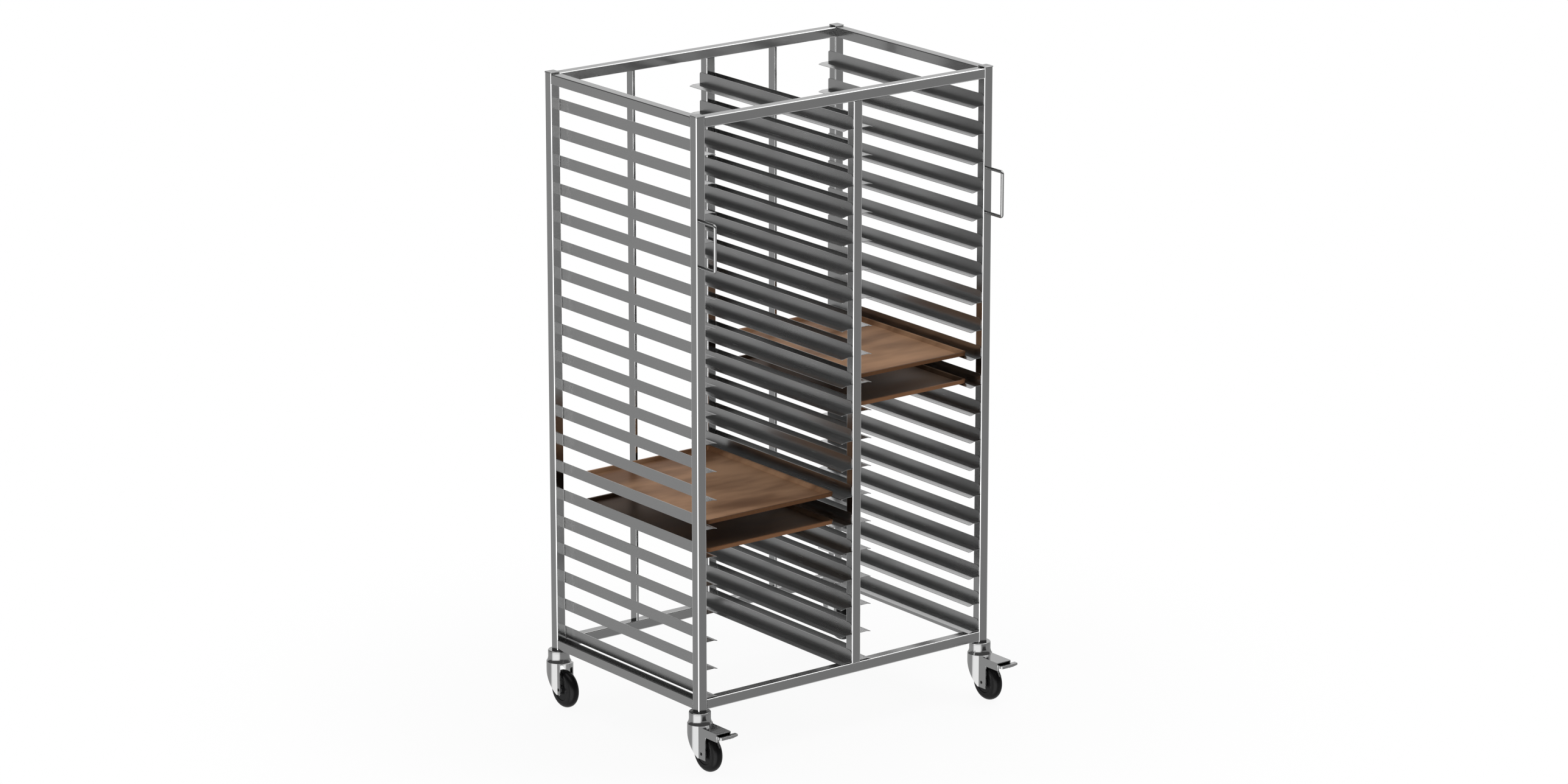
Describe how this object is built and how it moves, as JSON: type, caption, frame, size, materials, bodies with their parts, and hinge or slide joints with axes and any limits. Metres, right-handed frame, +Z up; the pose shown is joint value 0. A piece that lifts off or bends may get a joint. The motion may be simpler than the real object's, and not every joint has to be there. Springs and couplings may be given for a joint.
{
  "type": "double tray trolley",
  "caption": "Tall square-tube trolley with two bays of angled tray runners, flat trays, push handles and swivel castors, the front ones with brakes.",
  "frame": {"origin": "on the floor, in the middle of everything the trolley covers", "axes": "+X to the right along the front, +Y from the front to the rear stop bars, +Z up"},
  "size_m": [1.0957, 0.8506, 1.8891],
  "materials": {
    "frame": "polished stainless tube",
    "runner": "polished stainless sheet",
    "cap": "smooth grey plug",
    "tray": "brown coated sheet, glossy and a little cloudy",
    "handle": "polished round rod",
    "castor_metal": "bright plated pressing",
    "castor_pin": "dark steel",
    "tyre": "smooth black",
    "wheel_centre": "smooth black"
  },
  "bodies": {
    "frame": {"post_front_left": "frame", "post_front_right": "frame", "post_rear_left": "frame", "post_rear_right": "frame", "rail_top_front": "frame", "rail_top_rear": "frame", "rail_top_left": "frame", "rail_top_right": "frame", "rail_bottom_front": "frame", "rail_bottom_rear": "frame", "rail_bottom_left": "frame", "rail_bottom_right": "frame", "middle_post_front": "frame", "middle_post_rear": "frame", "rear_stop_left": "frame", "rear_stop_right": "frame", "cap_front_left": "cap", "cap_front_right": "cap", "cap_rear_left": "cap", "cap_rear_right": "cap", "runners_left_bay_left": "runner", "runners_left_bay_right": "runner", "runners_right_bay_left": "runner", "runners_right_bay_right": "runner", "handle_left": "handle", "handle_right": "handle", "castor_stems": "castor_metal", "castor_upper_races": "castor_metal"},
    "left_upper_tray": {"tray_left_upper": "tray"},
    "left_lower_tray": {"tray_left_lower": "tray"},
    "right_upper_tray": {"tray_right_upper": "tray"},
    "right_lower_tray": {"tray_right_lower": "tray"},
    "castor_front_left": {"castor_front_left_head": "castor_metal", "castor_front_left_fork": "castor_metal", "castor_front_left_pins": "castor_pin"},
    "wheel_front_left": {"castor_front_left_tyre": "tyre", "castor_front_left_hub": "wheel_centre"},
    "brake_front_left": {"castor_front_left_brake_pedal": "castor_metal"},
    "castor_front_right": {"castor_front_right_head": "castor_metal", "castor_front_right_fork": "castor_metal", "castor_front_right_pins": "castor_pin"},
    "wheel_front_right": {"castor_front_right_tyre": "tyre", "castor_front_right_hub": "wheel_centre"},
    "brake_front_right": {"castor_front_right_brake_pedal": "castor_metal"},
    "castor_rear_left": {"castor_rear_left_head": "castor_metal", "castor_rear_left_fork": "castor_metal", "castor_rear_left_pins": "castor_pin"},
    "wheel_rear_left": {"castor_rear_left_tyre": "tyre", "castor_rear_left_hub": "wheel_centre"},
    "castor_rear_right": {"castor_rear_right_head": "castor_metal", "castor_rear_right_fork": "castor_metal", "castor_rear_right_pins": "castor_pin"},
    "wheel_rear_right": {"castor_rear_right_tyre": "tyre", "castor_rear_right_hub": "wheel_centre"}
  },
  "joints": [
    {"name": "left_upper_tray_slide", "type": "slide", "parent": "frame", "child": "left_upper_tray", "axis": [0, -1, 0], "range_m": [0, 0.56]},
    {"name": "left_lower_tray_slide", "type": "slide", "parent": "frame", "child": "left_lower_tray", "axis": [0, -1, 0], "range_m": [0, 0.56]},
    {"name": "right_upper_tray_slide", "type": "slide", "parent": "frame", "child": "right_upper_tray", "axis": [0, -1, 0], "range_m": [0, 0.56]},
    {"name": "right_lower_tray_slide", "type": "slide", "parent": "frame", "child": "right_lower_tray", "axis": [0, -1, 0], "range_m": [0, 0.56]},
    {"name": "swivel_front_left", "type": "hinge", "parent": "frame", "child": "castor_front_left", "pos_m": [-0.51155, -0.2983, 0.134], "axis": [0, 0, 1], "continuous": true},
    {"name": "wheel_spin_front_left", "type": "hinge", "parent": "castor_front_left", "child": "wheel_front_left", "pos_m": [-0.51155, -0.3368, 0.056], "axis": [1, 0, 0], "continuous": true},
    {"name": "brake_front_left", "type": "hinge", "parent": "castor_front_left", "child": "brake_front_left", "pos_m": [-0.51155, -0.3803, 0.122], "axis": [1, 0, 0], "range_deg": [0, 7]},
    {"name": "swivel_front_right", "type": "hinge", "parent": "frame", "child": "castor_front_right", "pos_m": [0.50785, -0.2983, 0.134], "axis": [0, 0, 1], "continuous": true},
    {"name": "wheel_spin_front_right", "type": "hinge", "parent": "castor_front_right", "child": "wheel_front_right", "pos_m": [0.50785, -0.3368, 0.056], "axis": [1, 0, 0], "continuous": true},
    {"name": "brake_front_right", "type": "hinge", "parent": "castor_front_right", "child": "brake_front_right", "pos_m": [0.50785, -0.3803, 0.122], "axis": [1, 0, 0], "range_deg": [0, 7]},
    {"name": "swivel_rear_left", "type": "hinge", "parent": "frame", "child": "castor_rear_left", "pos_m": [-0.51155, 0.389, 0.134], "axis": [0, 0, 1], "continuous": true},
    {"name": "wheel_spin_rear_left", "type": "hinge", "parent": "castor_rear_left", "child": "wheel_rear_left", "pos_m": [-0.51155, 0.358, 0.056], "axis": [1, 0, 0], "continuous": true},
    {"name": "swivel_rear_right", "type": "hinge", "parent": "frame", "child": "castor_rear_right", "pos_m": [0.50785, 0.389, 0.134], "axis": [0, 0, 1], "continuous": true},
    {"name": "wheel_spin_rear_right", "type": "hinge", "parent": "castor_rear_right", "child": "wheel_rear_right", "pos_m": [0.50785, 0.358, 0.056], "axis": [1, 0, 0], "continuous": true}
  ]
}
